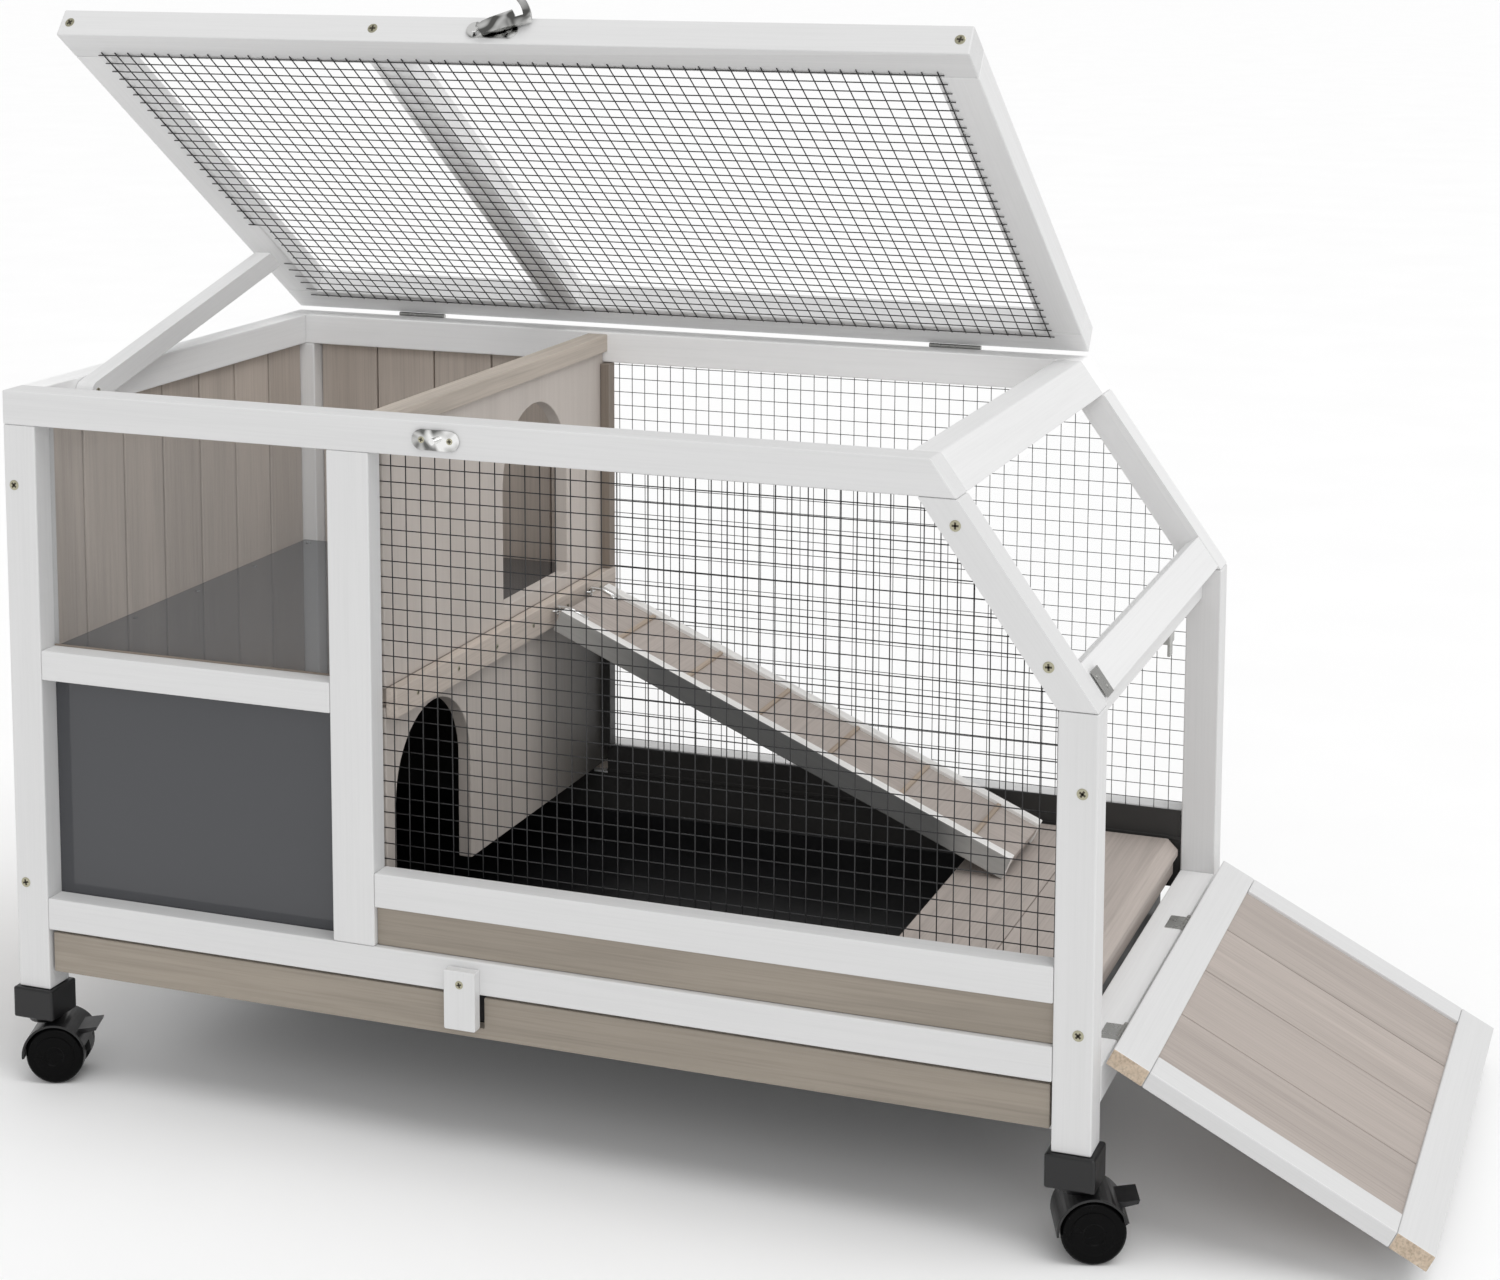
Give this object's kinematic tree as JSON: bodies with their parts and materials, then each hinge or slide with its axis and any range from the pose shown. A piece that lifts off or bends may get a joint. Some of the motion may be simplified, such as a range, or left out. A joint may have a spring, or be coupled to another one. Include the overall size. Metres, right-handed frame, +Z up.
{
  "type": "rabbit hutch",
  "caption": "Indoor rabbit hutch on casters with a solid two-storey house, a wire mesh run, a lid that props open, a ladder, a pull-out tray and a drop-down ramp door.",
  "frame": {"origin": "centre of the whole object's footprint, on the floor, with the lid propped and the ramp down", "axes": "+X to the right along the front, +Y to the back, +Z up"},
  "size_m": [1.1622, 0.5178, 0.9046],
  "materials": {
    "white_paint": "white paint on planed softwood, satin, with faint grain",
    "taupe_board": "greige stain on tongue-and-groove softwood board, matt",
    "coated_wire": "black plastic-coated welded wire",
    "clear_acrylic": "clear acrylic sheet",
    "plated_steel": "bright nickel plate",
    "tray_plastic": "black moulded plastic",
    "caster_plastic": "black moulded nylon, semi-matt",
    "wheel_plastic": "black moulded wheel, glossy"
  },
  "bodies": {
    "hutch": {"post_front_left": "white_paint", "post_front_right": "white_paint", "post_front_slanted": "white_paint", "post_rear_left": "white_paint", "post_rear_right": "white_paint", "post_rear_slanted": "white_paint", "rail_top_front": "white_paint", "rail_top_rear": "white_paint", "rail_top_left": "white_paint", "rail_top_right": "white_paint", "rail_lower_front": "white_paint", "post_middle_front": "white_paint", "rail_window_front": "white_paint", "rail_sill_front": "white_paint", "apron_front": "taupe_board", "rail_lower_rear": "white_paint", "rail_sill_rear": "white_paint", "sill_ramp": "white_paint", "rail_knee": "white_paint", "rail_slope_lower": "white_paint", "wall_left": "taupe_board", "wall_rear": "taupe_board", "partition_upper": "taupe_board", "partition_lower": "taupe_board", "upper_floor": "taupe_board", "floor_edge": "taupe_board", "platform": "taupe_board", "mesh_front": "coated_wire", "mesh_rear": "coated_wire", "pane_window_upper": "clear_acrylic", "pane_window_lower": "clear_acrylic", "pane_slope": "clear_acrylic", "latch_keeper": "plated_steel", "tray_bearer": "white_paint", "caster_socket_front_left": "caster_plastic", "caster_socket_front_right": "caster_plastic", "caster_socket_rear_left": "caster_plastic", "caster_socket_rear_right": "caster_plastic"},
    "lid": {"lid_rail_front": "white_paint", "lid_rail_rear": "white_paint", "lid_rail_left": "white_paint", "lid_rail_right": "white_paint", "lid_bar": "white_paint", "lid_mesh": "coated_wire"},
    "lid_hook": {"lid_hook": "plated_steel"},
    "lid_prop": {"lid_prop": "white_paint"},
    "ramp": {"ramp_frame": "white_paint", "ramp_panel": "taupe_board"},
    "tray": {"tray": "tray_plastic", "tray_front": "taupe_board"},
    "turn_button": {"turn_button": "white_paint"},
    "ladder": {"ladder": "taupe_board"},
    "caster_front_left": {"caster_hood_front_left": "caster_plastic"},
    "wheels_front_left": {"caster_wheels_front_left": "wheel_plastic"},
    "caster_front_right": {"caster_hood_front_right": "caster_plastic"},
    "wheels_front_right": {"caster_wheels_front_right": "wheel_plastic"},
    "caster_rear_left": {"caster_hood_rear_left": "caster_plastic"},
    "wheels_rear_left": {"caster_wheels_rear_left": "wheel_plastic"},
    "caster_rear_right": {"caster_hood_rear_right": "caster_plastic"},
    "wheels_rear_right": {"caster_wheels_rear_right": "wheel_plastic"}
  },
  "joints": [
    {"name": "lid_hinge", "type": "hinge", "parent": "hutch", "child": "lid", "pos_m": [-0.17731, 0.24584, 0.584], "axis": [1, 0, 0], "range_deg": [0, 35]},
    {"name": "prop_fold", "type": "hinge", "parent": "hutch", "child": "lid_prop", "pos_m": [-0.53871, -0.16616, 0.571], "axis": [-1, 0, 0], "range_deg": [0, 21]},
    {"name": "lid_hook_turn", "type": "hinge", "parent": "lid", "child": "lid_hook", "pos_m": [-0.17731, -0.14944, 0.87726], "axis": [0, 0.8192, -0.5736], "range_deg": [0, 120]},
    {"name": "ramp_hinge", "type": "hinge", "parent": "hutch", "child": "ramp", "pos_m": [0.34169, -0.00116, 0.139], "axis": [0, -1, 0], "range_deg": [0, 117]},
    {"name": "tray_slide", "type": "slide", "parent": "hutch", "child": "tray", "axis": [0, -1, 0], "range_m": [0, 0.4]},
    {"name": "button_turn", "type": "hinge", "parent": "hutch", "child": "turn_button", "pos_m": [-0.15831, -0.25116, 0.142], "axis": [0, 1, 0], "range_deg": [-90, 90]},
    {"name": "ladder_lift", "type": "hinge", "parent": "hutch", "child": "ladder", "pos_m": [-0.22131, 0.11584, 0.354], "axis": [0, -1, 0], "range_deg": [0, 30]},
    {"name": "swivel_front_left", "type": "hinge", "parent": "hutch", "child": "caster_front_left", "pos_m": [-0.55431, -0.23216, 0.054], "axis": [0, 0, 1], "continuous": true},
    {"name": "roll_front_left", "type": "hinge", "parent": "caster_front_left", "child": "wheels_front_left", "pos_m": [-0.54304, -0.22806, 0.024], "axis": [-0.342, 0.9397, 0], "continuous": true},
    {"name": "swivel_front_right", "type": "hinge", "parent": "hutch", "child": "caster_front_right", "pos_m": [0.32569, -0.23216, 0.054], "axis": [0, 0, 1], "continuous": true},
    {"name": "roll_front_right", "type": "hinge", "parent": "caster_front_right", "child": "wheels_front_right", "pos_m": [0.33696, -0.22806, 0.024], "axis": [-0.342, 0.9397, 0], "continuous": true},
    {"name": "swivel_rear_left", "type": "hinge", "parent": "hutch", "child": "caster_rear_left", "pos_m": [-0.55431, 0.22984, 0.054], "axis": [0, 0, 1], "continuous": true},
    {"name": "roll_rear_left", "type": "hinge", "parent": "caster_rear_left", "child": "wheels_rear_left", "pos_m": [-0.55021, 0.21856, 0.024], "axis": [0.9397, 0.342, 0], "continuous": true},
    {"name": "swivel_rear_right", "type": "hinge", "parent": "hutch", "child": "caster_rear_right", "pos_m": [0.32569, 0.22984, 0.054], "axis": [0, 0, 1], "continuous": true},
    {"name": "roll_rear_right", "type": "hinge", "parent": "caster_rear_right", "child": "wheels_rear_right", "pos_m": [0.32158, 0.21856, 0.024], "axis": [0.9397, -0.342, 0], "continuous": true}
  ],
  "couplings": [
    {"joint": "prop_fold", "follows": "lid_hinge", "ratio": 0.6}
  ]
}
